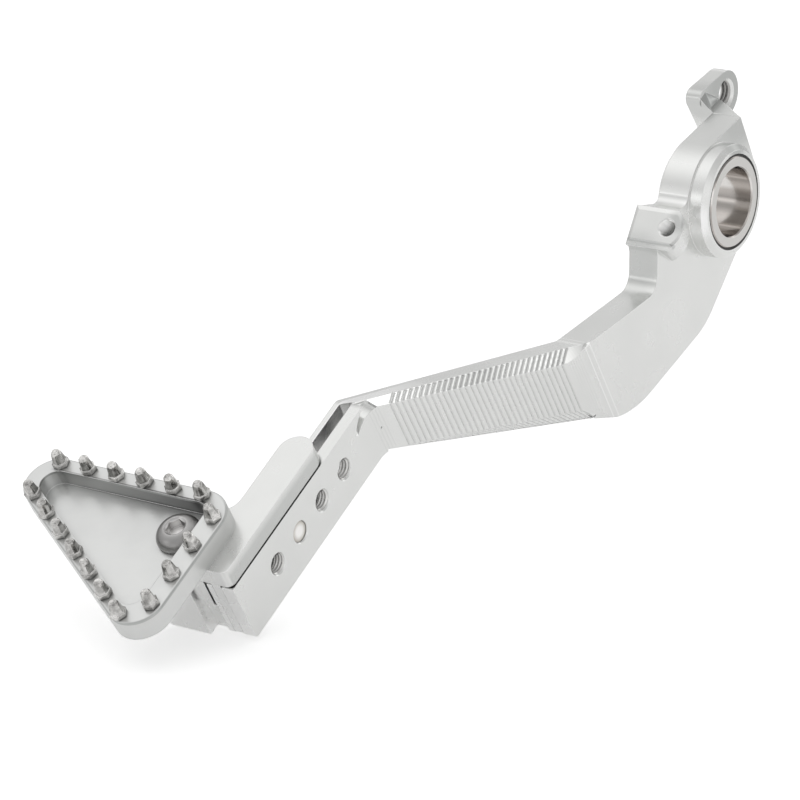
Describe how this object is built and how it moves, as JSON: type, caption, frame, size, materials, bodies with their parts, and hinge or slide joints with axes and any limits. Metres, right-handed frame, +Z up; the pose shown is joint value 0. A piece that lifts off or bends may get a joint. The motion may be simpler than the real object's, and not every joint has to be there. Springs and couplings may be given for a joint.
{
  "type": "rear brake pedal",
  "caption": "Motorbike rear brake pedal: machined arm with a sleeved pivot, push-rod ear, stop lug, grooved waist and an adjustable studded toe pad.",
  "frame": {"origin": "centre of the pivot sleeve's bore at the sleeve's inboard face", "axes": "+X runs forward from the pivot to the toe pad, +Y along the pivot axis towards the bike, +Z up"},
  "size_m": [0.3196, 0.0829, 0.1112],
  "materials": {
    "lever_arm": "bead-blasted and clear anodised",
    "pivot_sleeve": "ground steel",
    "dust_seal": "black nitrile rubber",
    "pad_carrier": "bead-blasted and clear anodised",
    "carrier_screw": "zinc-plated steel",
    "toe_pad": "bead-blasted and clear anodised",
    "pad_screw": "matt stainless steel",
    "grip_stud": "bright stainless steel"
  },
  "bodies": {
    "lever": {"lever_arm": "lever_arm", "dust_seal_inboard": "dust_seal", "dust_seal_outboard": "dust_seal", "pad_carrier": "pad_carrier", "carrier_screw": "carrier_screw", "toe_pad": "toe_pad", "pad_screw": "pad_screw", "grip_stud_01": "grip_stud", "grip_stud_02": "grip_stud", "grip_stud_03": "grip_stud", "grip_stud_04": "grip_stud", "grip_stud_05": "grip_stud", "grip_stud_06": "grip_stud", "grip_stud_07": "grip_stud", "grip_stud_08": "grip_stud", "grip_stud_09": "grip_stud", "grip_stud_10": "grip_stud", "grip_stud_11": "grip_stud", "grip_stud_12": "grip_stud", "grip_stud_13": "grip_stud", "grip_stud_14": "grip_stud", "grip_stud_15": "grip_stud", "grip_stud_16": "grip_stud", "grip_stud_17": "grip_stud"},
    "sleeve": {"pivot_sleeve": "pivot_sleeve"}
  },
  "joints": [
    {"name": "pivot", "type": "hinge", "parent": "lever", "child": "sleeve", "pos_m": [0, 0, 0], "axis": [0, 1, 0], "continuous": true}
  ]
}
